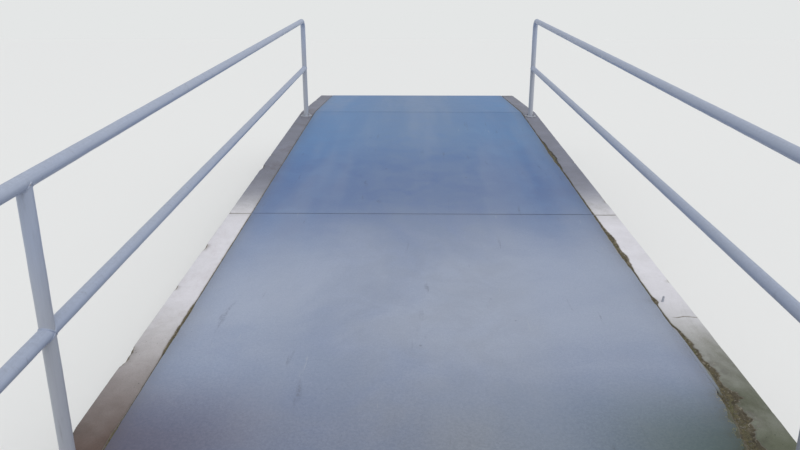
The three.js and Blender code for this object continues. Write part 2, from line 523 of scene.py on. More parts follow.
def makeConcrete(name, light, dark, staining, holeSize, boards=0):
    # the formwork's boards show as fins and tone on upright faces
    finish, tree, shader = newFinish(name)
    place = objectPlace(tree)
    x, y, z = partsOf(place)
    upward = upwardOf(tree)
    broken = storedMark(tree, "broken")
    toRight = remap(x, -0.6, 0.6)
    values = {
        "Light": light,
        "Dark": dark,
        "Stain": mix(toRight, *wallTones["stain"]),
        "Staining": remap(y, *wallPlaces["stain"], staining, min(1.0, staining + 0.2)),
        "Broken": broken,
        "Hole Size": holeSize,
    }
    surface = placeGroup(tree, concreteGroup, values)
    body, height = surface["Color"], surface["Height"]
    clouds = addNoise(place, 2.6, 6, 0.6)
    # darker towards the foot: dirt, and painted shade
    footDirtAndShade = remap(y - remap(x, -0.6, 0.6, 0.0, 0.27), *wallPlaces["film"])
    footDirtAndShade = footDirtAndShade * remap(clouds, 0.25, 0.7, 0.8, 1.0)
    footDirtAndShade = footDirtAndShade * remap(broken, 0.2, 0.9, 1.0, 0.5) * remap(upward, 0.2, 0.7, 0.4, 1.0)
    body = mix(footDirtAndShade, body, mix(toRight, *wallTones["film"]), "MULTIPLY")
    # painted shade: darker up the ramp, where the far margins lie in shade
    body = mix(remap(y, *wallPlaces["upper"]), body, wallTones["upper"], "MULTIPLY")
    ragged = addNoise(place, 45, 4, 0.6) * 0.012
    spilt = remap(x - ragged, spill["to"], spill["to"] - 0.002) * remap(x, 0.0, 0.1)
    spilt = spilt * remap(y, spill["from"], spill["from"] + spill["fade"])
    spilt = spilt * remap(y, spill["until"], spill["until"] - spill["fade"])
    spilt = spilt * remap(broken, 0.5, 0.3, 0.0, 0.85)
    body = mix(spilt, body, placeGroup(tree, deckGroup, {"Edge": spill["grime"]})["Color"])
    if boards:
        facingUp = remap(upward, 0.5, 0.9)
        # painted light: a lighter band on the margins' tops partway up the ramp
        litBand = remap(y, *wallPlaces["litFromFoot"]) * facingUp
        litBand = litBand * remap(y, *wallPlaces["litFromHead"]) * remap(broken, 0.3, 0.0, 0.0, 0.4)
        body = mix(litBand, body, wallTones["litBand"])
        # painted shade on the tops of the far margins
        farShade = remap(y, *wallPlaces["farShade"]) * facingUp
        body = mix(farShade, body, wallTones["farShade"], "MULTIPLY")
        upright = remap(abs(upward), 0.5, 0.2)
        turns = z / boards
        seam = remap(abs(addMath("FRACT", turns) - 0.5), 0.482, 0.498) * upright
        number = {"W": addMath("FLOOR", turns)}
        tone = wireFrom(tree, "ShaderNodeTexWhiteNoise", number, "Value", noise_dimensions="1D")
        grain = addNoise(stretched(place, (6, 1.2, 90)), 1.0, 5, 0.65, 0.6)
        body = mix(tone * 0.16 * upright, body, wallTones["board"])
        body = mix(seam * 0.45, body, wallTones["boardJoint"])
        body = mix(remap(z, *wallPlaces["damp"]) * upright, body, wallTones["damp"])
        height = height + ((grain + tone) * 0.5 - seam) * upright
    connect(shader, {**surface, "Color": body, "Height": height}, depth=0.0016)
    return finish


def makeCoating():
    finish, tree, shader = newFinish("deckCoating")
    surface = placeGroup(tree, deckGroup, {"Edge": storedMark(tree, "edge")})
    connect(shader, surface, depth=0.0012)
    shader.inputs["Specular IOR Level"].default_value = 0.35
    return finish


railPaints = {
    "rail": {"paint": colour(162, 172, 194), "settling": 0.6},
    # painted light: the posts greyer low down, as in warmer light, over the rails' one paint
    "post": {"paint": colour(170, 174, 184), "settling": 0.6, "upper": colour(162, 172, 194)},
    "foot": {"paint": colour(166, 170, 180), "settling": 0.9},
    "chipping": 0.4,
    "turning": (0.45, 0.9),  # heights between which a post's greyer paint, painted warmer light, turns to its upper one
}


def makeRailPaint(name, paint, settling, upper=None):
    finish, tree, shader = newFinish(name)
    if upper:
        _, y, z = partsOf(objectPlace(tree))
        low, high = [surfaceAt(0.0) + height for height in railPaints["turning"]]
        # painted light: greyer low on a post, as in warmer light, and the rail's colour higher up
        paint = mix(remap(z - y * grade, low, high), paint, upper)
    values = {
        "Chipping": railPaints["chipping"],
        "Settling": settling,
        "Paint": paint,
        "Wear": storedMark(tree, "wear"),
    }
    connect(shader, placeGroup(tree, paintGroup, values), depth=0.0005)
    return finish


dirtTones = {
    "soil": (colour(53, 48, 34), colour(106, 98, 74)),
    "moss": (colour(58, 58, 37), colour(110, 108, 76)),
    "grains": colour(136, 126, 106),
}


def makeDirt():
    # packed soil with moss, in the open joint beside the coating
    finish, tree, shader = newFinish("packedDirt")
    place = objectPlace(tree)
    lumps = addNoise(place, 70, 6, 0.7, 0.5)
    grains = addNoise(place, 380, 2, 0.6)
    soil = mix(spread(lumps), *dirtTones["soil"])
    moss = mix(spread(grains), *dirtTones["moss"])
    mossy = remap(addNoise(place, 6, 4, 0.6), 0.48, 0.62, 0.0, 0.75)
    mossy = mossy * remap(partsOf(place)[0], -0.5, 0.5, 0.2, 1.0)
    body = mix(mossy, soil, moss)
    body = mix(remap(grains, 0.62, 0.72, 0.0, 0.5), body, dirtTones["grains"])
    surface = {"Color": body, "Roughness": spread(lumps, 0.86, 0.98), "Height": lumps + grains * 0.4}
    connect(shader, surface, depth=0.004)
    return finish


fillerTones = {
    "bare": (colour(112, 108, 102), colour(146, 143, 138)),
    "wrinkle": colour(132, 126, 120),
}


def makeFiller():
    # coated over between the margins, and bare in them
    finish, tree, shader = newFinish("jointFiller")
    place = objectPlace(tree)
    wrinkles = addNoise(stretched(place, (30, 160, 60)), 1.0, 5, 0.6, 1.0)
    patches = addNoise(place, 4, 5, 0.65)
    coated = placeGroup(tree, deckGroup, {"Edge": 0.25})["Color"]
    bare = mix(remap(patches, 0.35, 0.65), *fillerTones["bare"])
    body = mix(remap(abs(partsOf(place)[0]), 1.12, 1.14), coated, bare)
    body = mix(remap(wrinkles, 0.6, 0.75, 0.0, 0.3), body, fillerTones["wrinkle"])
    surface = {"Color": body, "Roughness": spread(patches, 0.62, 0.86), "Height": wrinkles}
    connect(shader, surface, depth=0.002)
    return finish


fillTones = {"stones": (colour(128, 118, 100), colour(84, 72, 56)), "earth": colour(70, 58, 42)}


def makeFill():
    finish, tree, shader = newFinish("compactedFill")
    place = objectPlace(tree)
    stones = addCells(place, 40)[0]
    earth = addNoise(place, 25, 5, 0.6)
    body = mix(remap(stones, 0.2, 0.5), *fillTones["stones"])
    body = mix(remap(earth, 0.4, 0.7, 0.0, 0.6), body, fillTones["earth"])
    surface = {"Color": body, "Roughness": spread(earth, 0.88, 0.98), "Height": earth - stones}
    connect(shader, surface, depth=0.01)
    return finish


finishes = {
    # each with its slot in the record
    "wall": (makeConcrete("bareConcrete", **concretes["wall"]), "bare_concrete"),
    "slab": (makeConcrete("slabConcrete", **concretes["slab"]), "slab_concrete"),
    "coating": (makeCoating(), "deck_coating"),
    "rail": (makeRailPaint("railPaint", **railPaints["rail"]), "rail_paint"),
    "post": (makeRailPaint("postPaintWarmLit", **railPaints["post"]), "rail_paint"),
    "foot": (makeRailPaint("footPaint", **railPaints["foot"]), "rail_paint"),
    "dirt": (makeDirt(), "fill"),
    "filler": (makeFiller(), "joint_filler"),
    "fill": (makeFill(), "fill"),
}
print("finishes made")


# Mesh helpers


def wander(x, y, z=0.0, scale=1.0, seed=0.0, octaves=3):
    place = Vector((x * scale + seed, y * scale + seed * 1.7, z * scale - seed))
    return noise.fractal(place, 1.0, 2.1, octaves)


def steps(start, end, spacing, rounding=0.0):
    # places from start to end, closer together at the rounded ends; spacing may depend on the place
    spacingAt = spacing if callable(spacing) else lambda place: spacing
    near, far = [start], [end]
    if rounding:
        shares = (0.0, 0.12, 0.4, 1.0)
        near = [start + rounding * s for s in shares]
        far = [end - rounding * s for s in reversed(shares)]
    places = near[:]
    while far[0] - places[-1] > spacingAt(places[-1]) * 1.5:
        places.append(places[-1] + spacingAt(places[-1]))
    return places + far


def endInset(place, start, end, radius):
    # how far a rounded end draws a section in, at a place between start and end
    away = min(place - start, end - place)
    if away >= radius:
        return 0.0
    return radius * (1 - math.sqrt(max(0.0, 1 - (1 - away / radius) ** 2)))


def meshOf(name, points, edges=(), faces=()):
    mesh = bpy.data.meshes.new(name)
    mesh.from_pydata(points, edges, faces)
    return mesh


def meshFrom(shape, name):
    # ends the work on a bmesh
    mesh = bpy.data.meshes.new(name)
    shape.to_mesh(mesh)
    shape.free()
    return mesh


def turnOutward(mesh, within=0.0):
    # turns every face outwards, after points within a distance have become one
    shape = bmesh.new()
    shape.from_mesh(mesh)
    if within:
        bmesh.ops.remove_doubles(shape, verts=shape.verts, dist=within)
    bmesh.ops.recalc_face_normals(shape, faces=shape.faces)
    shape.to_mesh(mesh)
    shape.free()


def shadeSmooth(mesh):
    mesh.polygons.foreach_set("use_smooth", [True] * len(mesh.polygons))


def addMark(mesh, name, values):
    # values are one for each point, or one for all
    if not isinstance(values, list):
        values = [values] * len(mesh.vertices)
    mesh.attributes.new(name, "FLOAT", "POINT").data.foreach_set("value", values)


def closedMesh(name, points, faces):
    mesh = meshOf(name, points, faces=faces)
    turnOutward(mesh)
    shadeSmooth(mesh)
    return mesh


def loftMesh(name, rings, label):
    # rings of (point, mark) joined one to the next, and the two ends closed
    count = len(rings[0])
    faces = []
    for i in range(len(rings) - 1):
        for j in range(count):
            k = (j + 1) % count
            faces.append((i * count + j, i * count + k, (i + 1) * count + k, (i + 1) * count + j))
    last = (len(rings) - 1) * count
    faces += [tuple(range(count)), tuple(range(last, last + count))]
    mesh = closedMesh(name, [point for ring in rings for point, mark in ring], faces)
    addMark(mesh, label, [mark for ring in rings for point, mark in ring])
    return mesh


def bakedMesh(carrier, helpers):
    # the mesh that an object's modifiers make, after which it goes with its helpers
    graph = bpy.context.evaluated_depsgraph_get()
    mesh = bpy.data.meshes.new_from_object(carrier.evaluated_get(graph))
    for item in (carrier, *helpers):
        bpy.data.objects.remove(item)
    return mesh


def finishMesh(name, mesh, look, node=None, sharpAngle=38):
    # node is the solid of the frame that the piece stands for
    material, slot = finishes[look]
    mesh.set_sharp_from_angle(angle=math.radians(sharpAngle))
    mesh.materials.clear()
    mesh.materials.append(material)
    piece = addObject(name, mesh)
    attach(piece, "root")
    if node:
        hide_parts(node)
    return piece


def addLoft(name, rings, label, look, node=None):
    return finishMesh(name, loftMesh(name, rings, label), look, node)


# Places of the posts, and the joints along the coating, which have opened and broken

postOffset = sum(corner.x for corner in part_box("post_right_1")) / 2
postPlaces = [sum(corner.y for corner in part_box(f"post_right_{i}")) / 2 for i in range(1, 4)]

edgeDamage = {
    # station from the foot, widest loss of the wall's edge, the same of the slab's edge,
    # and how much of the wall beside the joint still stands in front of a crack
    1: [
        (0.0, 0.005, 0.0015, 0.0),
        (0.9, 0.006, 0.002, 0.0),
        (1.5, 0.034, 0.014, 0.0),
        (2.0, 0.038, 0.030, 0.0),
        (2.36, 0.020, 0.050, 0.0),
        (2.44, 0.022, 0.046, 0.0),
        (2.51, 0.050, 0.014, 0.0),
        (2.60, 0.084, 0.008, 0.0),
        (2.68, 0.066, 0.006, 0.0),
        (2.75, 0.048, 0.0005, 0.013),
        (2.83, 0.052, 0.0, 0.020),
        (2.95, 0.042, 0.0, 0.013),
        (3.05, 0.034, 0.0, 0.011),
        (3.16, 0.022, 0.0, 0.008),
        (3.25, 0.004, 0.001, 0.0),
        (3.41, 0.0035, 0.001, 0.0),
        (3.46, 0.020, 0.006, 0.0),
        (3.51, 0.0035, 0.001, 0.0),
        (3.78, 0.004, 0.001, 0.0),
        (3.9, 0.020, 0.006, 0.0),
        (4.3, 0.020, 0.006, 0.0),
        (4.5, 0.007, 0.002, 0.0),
        (5.6, 0.006, 0.002, 0.0),
        (6.0, 0.024, 0.008, 0.0),
        (6.4, 0.018, 0.006, 0.0),
        (6.7, 0.005, 0.0015, 0.0),
        (9.5, 0.005, 0.0015, 0.0),
    ],
    -1: [
        (0.0, 0.003, 0.001, 0.0),
        (2.3, 0.001, 0.0004, 0.0),
        (2.42, 0.004, 0.001, 0.0),
        (2.52, 0.001, 0.0004, 0.0),
        (2.88, 0.001, 0.0004, 0.0),
        (3.0, 0.008, 0.002, 0.0),
        (3.3, 0.009, 0.003, 0.0),
        (3.45, 0.002, 0.0006, 0.0),
        (9.5, 0.003, 0.001, 0.0),
    ],
    "widest": 0.070,  # loss of both that counts as fully open
    "deepFrom": {"wall": 0.056, "slab": 0.030},  # loss from which the break is at its deepest
    "seed": {"wall": 3.7, "slab": 11.3},
    "depth": 0.025,
    "hairline": 0.0009,  # half the joint's width where nothing is broken
    "plateLedge": 0.022,  # what may be lost beside a base plate
    "plateReach": 0.062,
    "plateFade": 0.05,
    "fineRows": 0.006,
    "fineFrom": 0.15,  # openness past which the rows are fine
    "coarseRows": 0.012,
    "shares": (0.0, 0.1, 0.2, 0.3, 0.41, 0.52, 0.63, 0.74, 0.85, 0.94, 1.0),
    "ledgeShare": 0.3,
    "fullLedge": 0.006,
    "fullMark": 0.006,  # reach from which an edge shows as fully broken
    "stoneScale": 60,
}


def lossAt(side, y):
    station = y - rampFoot
    table = edgeDamage[side]
    for (start, *first), (end, *second) in zip(table, table[1:]):
        if station <= end:
            part = max(0.0, (station - start) / (end - start))
            part = part * part * (3 - 2 * part)
            return [a + (b - a) * part for a, b in zip(first, second)]
    return table[-1][1:]


def standingAt(side, y):
    # from 0 to 1, how far the wall's edge still stands in front of a crack
    return min(1.0, lossAt(side, y)[2] / edgeDamage["fullLedge"])


def openness(side, y):
    wall, slab, ledge = lossAt(side, y)
    return min(1.0, (wall + slab - ledge) / edgeDamage["widest"])


def rowSpacing(side=1):
    def spacingAt(y):
        fine = openness(side, y) > edgeDamage["fineFrom"]
        return edgeDamage["fineRows" if fine else "coarseRows"]

    return spacingAt


def brokenReach(side, piece, y):
    # how far the broken edge runs into a piece from the joint, at one place along the ramp
    wall, slab, ledge = lossAt(side, y)
    seed = edgeDamage["seed"][piece] + side * 5.1
    lumps = 0.8 + 0.65 * wander(0, y, scale=7.5, seed=seed)
    teeth = abs(wander(0, y, scale=38, seed=seed + 2))
    ragged = max(0.1, min(1.25, lumps + 0.45 * teeth))
    hairline = edgeDamage["hairline"] * (1 - 0.8 * standingAt(side, y))
    if piece == "slab":
        return hairline + slab * ragged
    away = min(abs(y - place) for place in postPlaces)
    part = clamped((away - edgeDamage["plateReach"]) / edgeDamage["plateFade"])
    reach = ledge + (wall - ledge) * ragged
    return hairline + min(reach, edgeDamage["plateLedge"] + wall * part)


def brokenFace(side, piece, y, room):
    # reach, drop and mark of each point across a broken edge, from the joint to the sound surface
    reach = brokenReach(side, piece, y)
    isWall = piece == "wall"
    ledge = lossAt(side, y)[2] if isWall else 0.0
    standing = standingAt(side, y) if isWall else 0.0
    brink = edgeDamage["ledgeShare"]
    extent = min(1.0, reach / edgeDamage["deepFrom"][piece])
    depth = min(edgeDamage["depth"] * (0.22 + 0.78 * extent), room)
    mark = min(1.0, reach / edgeDamage["fullMark"])
    points = []
    for share in edgeDamage["shares"]:
        if share <= brink:
            behind = ledge * share / brink
        else:
            behind = ledge + (reach - ledge) * (share - brink) / (1 - brink)
        u = reach * share + (behind - reach * share) * standing
        x = side * (slabEdge + (u if isWall else -u))
        lumps = wander(x, y, scale=52, seed=13)
        scale = edgeDamage["stoneScale"]
        stone = max(0.0, 0.5 - noise.voronoi(Vector((x * scale, y * scale, 3.1)))[0][0])
        rough = min(1.0, 5 * (1 - share)) * (0.38 * lumps - 0.55 * stone)
        kept = standing if share <= brink else 0.0
        drop = depth * (max(0.0, 1 - share) ** 0.7 + rough) * (1 - kept) + 0.0008 * kept
        drop = max(0.0005 + 0.001 * (share == 1.0), min(drop, room))
        points.append((u, drop, mark * (1.0 if share < 1 else 0.7) * (1 - 0.8 * kept)))
    return reach, points


# Cracks across the side walls' tops

crackLook = {
    "stations": {1: (3.3,), -1: ()},
    "reach": 0.03,  # how far along the ramp the rows beside a crack bend with it
    "wander": 0.012,
    "diesOut": (0.03, 0.08),  # distances from the joint
    # distance of each row from the crack, and its depth there
    "rows": ((0.0, 0.009), (0.002, 0.0045), (0.005, 0.0), (0.015, 0.0)),
    "faceLength": 0.12,  # how far it runs down the outer face
    "fullMark": 0.003,  # depth from which it shows as fully broken
}


def crackRows(side, rows):
    # the rows along a wall, with those near a crack replaced by rows that follow it
    reach = crackLook["reach"]
    for station in crackLook["stations"][side]:
        middle = rampFoot + station
        if rows[0] < middle - reach and middle + reach < rows[-1]:
            near = {middle + way * away for away, _ in crackLook["rows"] for way in (-1, 1)}
            rows = sorted([y for y in rows if abs(y - middle) >= reach] + list(near))
    return rows


def crackAt(side, y, u):
    # how far a crack bends a row at a distance from the joint, and how deep it is there
    for station in crackLook["stations"][side]:
        away = abs(y - rampFoot - station)
        if away < crackLook["reach"]:
            swing = wander(u, station, scale=17, seed=33, octaves=4)
            swing += 0.5 * wander(u, station, scale=70, seed=35)
            depths = [deep for place, deep in crackLook["rows"] if abs(place - away) < 0.0001]
            depth = max(depths, default=0.0)
            end, full = crackLook["diesOut"]
            depth *= (0.7 + 0.5 * abs(swing)) * clamped((u - end) / (full - end))
            return crackLook["wander"] * swing * (1 - away / crackLook["reach"]), depth
    return 0.0, 0.0


# Side walls, whose tops are the bare margins beside the coating

wallLook = {
    "endRounding": 0.005,
    "arris": 0.0045,
    "chipReach": 0.024,
    "chipFrom": 0.34,  # noise level past which the outer arris is chipped
    "topRelief": 0.0012,
    "topShares": (0.05, 0.11, 0.2, 0.3, 0.45, 0.6, 0.8),  # across the top, between the joint and the arris
    "topMargin": 0.003,  # between the broken edge and the top's first point
    "scaledStations": (2.3, 2.5, 2.95, 3.1),  # where the right wall's top has scaled off in patches
    "scaledReach": 0.055,  # how far from the broken joint
    "scaledDepth": 0.0024,
    "faceRelief": 0.0022,
    "faceRows": 9,
    "footChamfer": 0.004,
    "tieSpacing": 0.62,
    "tieRadius": 0.0125,
    "tieDepth": 0.016,
    "tieStickOut": 0.002,  # of the plug that cuts a hole, so that nothing is left over it
    "tieSides": 16,
    "tieHeights": (0.15, 0.45),
    "tieMargin": 0.07,  # between the holes and the wall's top
    "tieEnd": 0.1,  # between the last holes and the wall's end
}


def scalingAt(side, y):
    # from 0 to 1, how much of a wall's top may have scaled off
    if side < 0:
        return 0.0
    begins, full, fades, ends = [place + rampFoot for place in wallLook["scaledStations"]]
    return max(0.0, min(1.0, (y - begins) / (full - begins), (ends - y) / (ends - fades)))


def wallProfile(side, y, top):
    # distance from the joint, height and mark of each point around a wall, and its outer arris
    thickness = halfWidth - slabEdge
    room = top * 0.45
    reach, broken = brokenFace(side, "wall", y, room)
    seed = 20 + side * 4
    unevenness = wander(0.3, y, scale=5.5, seed=seed, octaves=2)
    chipShare = max(0.0, unevenness - wallLook["chipFrom"]) / (1 - wallLook["chipFrom"])
    teeth = 0.7 + 0.8 * abs(wander(0, y, scale=60, seed=seed + 1))
    arris = wallLook["arris"] * (0.7 + 0.6 * abs(unevenness)) + wallLook["chipReach"] * chipShare * teeth
    arris = min(arris, room)
    chipped = min(1.0, chipShare * 6)
    jag = 0.18 * wander(0, y, scale=70, seed=seed + 4, octaves=2)

    def sunk(u):
        return top - wallLook["topRelief"] * max(0.0, 0.5 + wander(u, y, scale=9, seed=seed + 6))

    margin = wallLook["topMargin"]
    profile = [(0.0, 0.0, 0.0), (0.0, top * 0.4, 0.0)]
    profile += [(u, top - drop, mark) for u, drop, mark in broken]
    profile.append((reach + margin, sunk(reach), 0.1))
    scaling = scalingAt(side, y)
    for share in wallLook["topShares"]:
        u = reach + margin + (thickness - arris - reach - 2 * margin) * share
        scaled = max(0.0, 1 - (u - reach) / wallLook["scaledReach"]) * scaling
        scaled *= clamped(0.35 + 3 * wander(u, y, scale=15, seed=seed + 9))
        profile.append((u, sunk(u) - wallLook["scaledDepth"] * scaled, 0.7 * scaled))
    profile += [
        (thickness - arris - margin / 2, sunk(thickness), 0.2 * chipped),
        (thickness - arris * (0.62 + jag), top - arris * (0.22 - 0.5 * jag), chipped),
        (thickness - arris * 0.24, top - arris * (0.62 + jag), chipped),
        (thickness, top - arris, chipped),
    ]
    rows = wallLook["faceRows"]
    for i in range(rows):
        z = (top - arris) * (1 - i / rows) if i else (top - arris) * 0.985
        sink = wallLook["faceRelief"] * max(0.0, 0.4 + wander(y, z, scale=2.3, seed=seed + 8))
        profile.append((thickness - sink, z, 0.0))
    chamfer = wallLook["footChamfer"]
    profile += [(thickness, min(chamfer, top * 0.15), 0.0), (thickness - chamfer, 0.0, 0.0)]
    return profile, arris


def wallRing(side, y, start, end):
    inset = endInset(y, start, end, wallLook["endRounding"])
    top = surfaceAt(y) - inset
    profile, arris = wallProfile(side, y, top)
    ring = []
    for u, z, mark in profile:
        bend, depth = crackAt(side, y, u)
        fade = max(0.0, 1 - (top - z) / crackLook["faceLength"]) if u > 0 else 0.0
        depth *= fade
        if z > top - arris:
            z -= depth
        else:
            u -= depth
        drawn = min(max(u, inset), halfWidth - slabEdge - inset)
        mark = 0.0 if y in (start, end) else max(mark, min(1.0, depth / crackLook["fullMark"]))
        ring.append((Vector((side * (slabEdge + drawn), y + bend * fade, z)), mark))
    return ring


def tiePlaces(side, start, end):
    # middles of the round holes that the formwork ties left, on a wall's outer face
    places = []
    y = start + wallLook["tieSpacing"] / 2
    while y < end - wallLook["tieEnd"]:
        for height in wallLook["tieHeights"]:
            if height < surfaceAt(y) - wallLook["tieMargin"]:
                places.append(Vector((side * halfWidth, y, height)))
        y += wallLook["tieSpacing"]
    return places


def cutTies(mesh, places, outward):
    # cuts a tapered hole at each place in an outer face
    depth, stickOut = wallLook["tieDepth"], wallLook["tieStickOut"]
    turn = Vector((0, 0, 1)).rotation_difference(outward).to_matrix().to_4x4()
    plugs = bmesh.new()
    for place in places:
        bmesh.ops.create_cone(
            plugs,
            cap_ends=True,
            segments=wallLook["tieSides"],
            radius1=wallLook["tieRadius"] * 0.62,
            radius2=wallLook["tieRadius"] * 1.05,
            depth=depth + 2 * stickOut,
            matrix=Matrix.Translation(place - outward * (depth / 2 - stickOut)) @ turn,
        )
    wall = addObject("wall", mesh)
    cutter = addObject("cutter", meshFrom(plugs, "ties"))
    modifier = wall.modifiers.new("cut", "BOOLEAN")
    modifier.operation = "DIFFERENCE"
    modifier.solver = "MANIFOLD"
    modifier.object = cutter
    return bakedMesh(wall, [cutter])


def addWall(side, number):
    node = f"wall_{sideNames[side]}_{number}"
    low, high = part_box(node)
    rows = crackRows(side, steps(low.y, high.y, rowSpacing(side), wallLook["endRounding"]))
    mesh = loftMesh(node + "_cast", [wallRing(side, y, low.y, high.y) for y in rows], "broken")
    places = tiePlaces(side, low.y, high.y)
    if places:
        mesh = cutTies(mesh, places, Vector((side, 0, 0)))
    finishMesh(node + "_cast", mesh, "wall", node)


for number in range(1, 5):
    for side in sideNames:
        addWall(side, number)
print("side walls made")


# Slabs, with their broken edges, under the coating

slabLook = {
    "endRounding": 0.004,
    "underCoating": 0.0004,
    "relief": 0.0009,
    "columns": 11,
    "margin": 0.004,  # between the broken edge and the sound top
}


def slabRing(y, start, end, bottom):
    inset = endInset(y, start, end, slabLook["endRounding"])
    top = surfaceAt(y) - coatDepth - slabLook["underCoating"] - inset
    ring = [(Vector((-slabEdge, y, bottom)), 0.0), (Vector((slabEdge, y, bottom)), 0.0)]
    for side in (1, -1):
        reach, broken = brokenFace(side, "slab", y, (top - bottom) * 0.5)
        edge = [(0.0, (top + bottom) / 2, 0.0)]
        edge += [(u, top - drop, mark) for u, drop, mark in broken]
        edge.append((reach + slabLook["margin"], top, 0.35))
        sound = y in (start, end)
        points = [(Vector((side * (slabEdge - u), y, z)), 0.0 if sound else mark) for u, z, mark in edge]
        ring += points[::side]
        if side > 0:
            last = slabLook["columns"] - 1
            for i in range(last + 1):
                x = slabEdge * 0.9 * (1 - 2 * i / last)
                z = top - slabLook["relief"] * abs(wander(x, y, scale=5, seed=7))
                ring.append((Vector((x, y, z)), 0.0))
    return ring


def addSlab(number):
    node = f"slab_{number}"
    low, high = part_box(node)
    rings = []
    for y in steps(low.y, high.y, rowSpacing(), slabLook["endRounding"]):
        bottom = 0.0 if number == 1 else surfaceAt(y) - coatDepth - slabDepth
        rings.append(slabRing(y, low.y, high.y, bottom))
    addLoft(node + "_cast", rings, "broken", "slab", node)


for number in range(1, 5):
    addSlab(number)
print("slabs made")


# Coating, which stops raggedly at the broken edges

coatLook = {
    "endRounding": 0.006,
    "relief": 0.0007,
    "lip": 0.0011,
    "endLip": 0.0006,
    "lipReach": 0.005,
    "peel": 0.020,  # how far the film has come off beyond the broken concrete
    "peelSteady": 0.0014,
    "endWobble": 0.0014,
    "columns": (0.0012, 0.005, 0.016, 0.05, 0.12),
    "middleColumns": 9,
    "underLift": 0.0002,
    "grimeReach": 0.07,
    "endGrime": (0.15, 0.03),  # how strong at a joint, and how far from it
    "toeWear": (1.05, 0.22),  # the same up from the foot, where feet and wheels wear the film
}


def coatEdge(side, y):
    flakes = max(0.0, wander(0, y, scale=12, seed=50 + side) + 0.3)
    teeth = abs(wander(0, y, scale=70, seed=54 + side))
    peel = coatLook["peelSteady"] + coatLook["peel"] * (0.04 + openness(side, y)) * (flakes + 0.35 * teeth)
    return brokenReach(side, "slab", y) + peel * (1 - standingAt(side, y))


def fading(amount, reach, distance):
    # what is left of an amount that runs out over a reach
    return amount * max(0.0, 1 - distance / reach)


def coatRing(y, start, end):
    left = -slabEdge + coatEdge(-1, y)
    right = slabEdge - coatEdge(1, y)
    surface = surfaceAt(y)
    under = surface - coatDepth + coatLook["underLift"]
    last = coatLook["middleColumns"] - 1
    middles = [left + (right - left) * (0.2 + 0.6 * i / last) for i in range(last + 1)]
    columns = (0.0, *coatLook["columns"])
    across = [left + u for u in columns] + middles + [right - u for u in reversed(columns)]
    toEnd = min(y - start, end - y)
    endGrime = fading(*coatLook["endGrime"], toEnd)
    if start == rampFoot:
        endGrime = max(endGrime, fading(*coatLook["toeWear"], y - start))
    lipReach = coatLook["lipReach"]
    ring = [(Vector((left, y, under)), 1.0)]
    for x in across:
        fromEdge = min(x - left, right - x)
        sink = coatLook["relief"] * abs(wander(x, y, scale=3.3, seed=61))
        sink += coatLook["lip"] * max(0.0, 1 - fromEdge / lipReach) ** 2
        sink += coatLook["endLip"] * max(0.0, 1 - toEnd / lipReach) ** 2
        grime = fading(1, coatLook["grimeReach"], fromEdge) * (0.5 + 0.5 * openness(1 if x > 0 else -1, y))
        ring.append((Vector((x, y, surface - sink)), min(1.0, max(grime, endGrime))))
    return ring + [(Vector((right, y, under)), 1.0), (Vector((0.0, y, under)), 1.0)]


def addCoating(number):
    node = f"coating_{number}"
    low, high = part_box(node)
    rounding = coatLook["endRounding"]
    rings = []
    for y in steps(low.y, high.y, rowSpacing(), rounding):
        ring = coatRing(y, low.y, high.y)
        fromEnd = min(y - low.y, high.y - y)
        if fromEnd < rounding:
            inward = 1 if y - low.y < high.y - y else -1
            for point, _ in ring:
                ragged = abs(wander(point.x, inward, scale=19, seed=71 + number, octaves=4))
                point.y += inward * coatLook["endWobble"] * ragged * (1 - fromEnd / rounding)
        rings.append(ring)
    return addLoft(node + "_film", rings, "edge", "coating", node)


coatings = [addCoating(number) for number in range(1, 5)]
print("coating made")


# Filler strips in the joints across the ramp

stripLook = {"rowSpacing": 0.012, "sag": 0.0008, "unevenness": 0.0005, "endRounding": 0.006}


def addStrip(number):
    node = f"joint_strip_{number}"
    low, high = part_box(node)
    middle, half = (low.y + high.y) / 2, (high.y - low.y) / 2
    rings = []
    for x in steps(low.x, high.x, stripLook["rowSpacing"], stripLook["endRounding"]):
        top = high.z - endInset(x, low.x, high.x, stripLook["endRounding"])
        sag = stripLook["sag"] * (0.6 + 0.8 * abs(wander(x, 0, scale=6, seed=81 + number)))
        left, right = [
            top - stripLook["unevenness"] * abs(wander(x, 0, scale=21, seed=seed + number, octaves=2))
            for seed in (83, 87)
        ]
        outline = [
            (-half, low.z),
            (half, low.z),
            (half, right),
            (half * 0.6, right - sag * 0.6),
            (0.0, top - sag),
            (-half * 0.6, left - sag * 0.6),
            (-half, left),
        ]
        rings.append([(Vector((x, middle + v, z)), 0.0) for v, z in outline])
    addLoft(node + "_filler", rings, "broken", "filler", node)


for number in range(1, 4):
    addStrip(number)
print("joint strips made")


# Wall under the landing's end

endWallLook = {"rowSpacing": 0.04, "rows": 8, "arris": 0.004, "relief": 0.0015, "tieInset": 0.35}


def addEndWall():
    low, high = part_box("end_wall")
    arris, rows = endWallLook["arris"], endWallLook["rows"]
    rings = []
    for x in steps(low.x, high.x, endWallLook["rowSpacing"]):
        outline = [(low.y, 0.0), (high.y - arris, 0.0), (high.y, arris)]
        for i in range(1, rows):
            z = high.z * i / rows
            sink = endWallLook["relief"] * max(0.0, 0.3 + wander(x, z, scale=3, seed=93))
            outline.append((high.y - sink, z))
        outline += [(high.y, high.z - arris), (high.y - arris, high.z), (low.y, high.z)]
        rings.append([(Vector((x, y, z)), 0.0) for y, z in outline])
    reach = high.x - endWallLook["tieInset"]
    places = [Vector((x, high.y, z)) for x in (-reach, 0.0, reach) for z in wallLook["tieHeights"]]
    mesh = cutTies(loftMesh("end_wall_cast", rings, "broken"), places, Vector((0, 1, 0)))
    finishMesh("end_wall_cast", mesh, "wall", "end_wall")


addEndWall()
for number in range(2, 5):
    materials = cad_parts[f"fill_{number}"].data.materials
    materials.clear()
    materials.append(finishes["fill"][0])
print("end wall made")


# Dirt in the open joints beside the coating

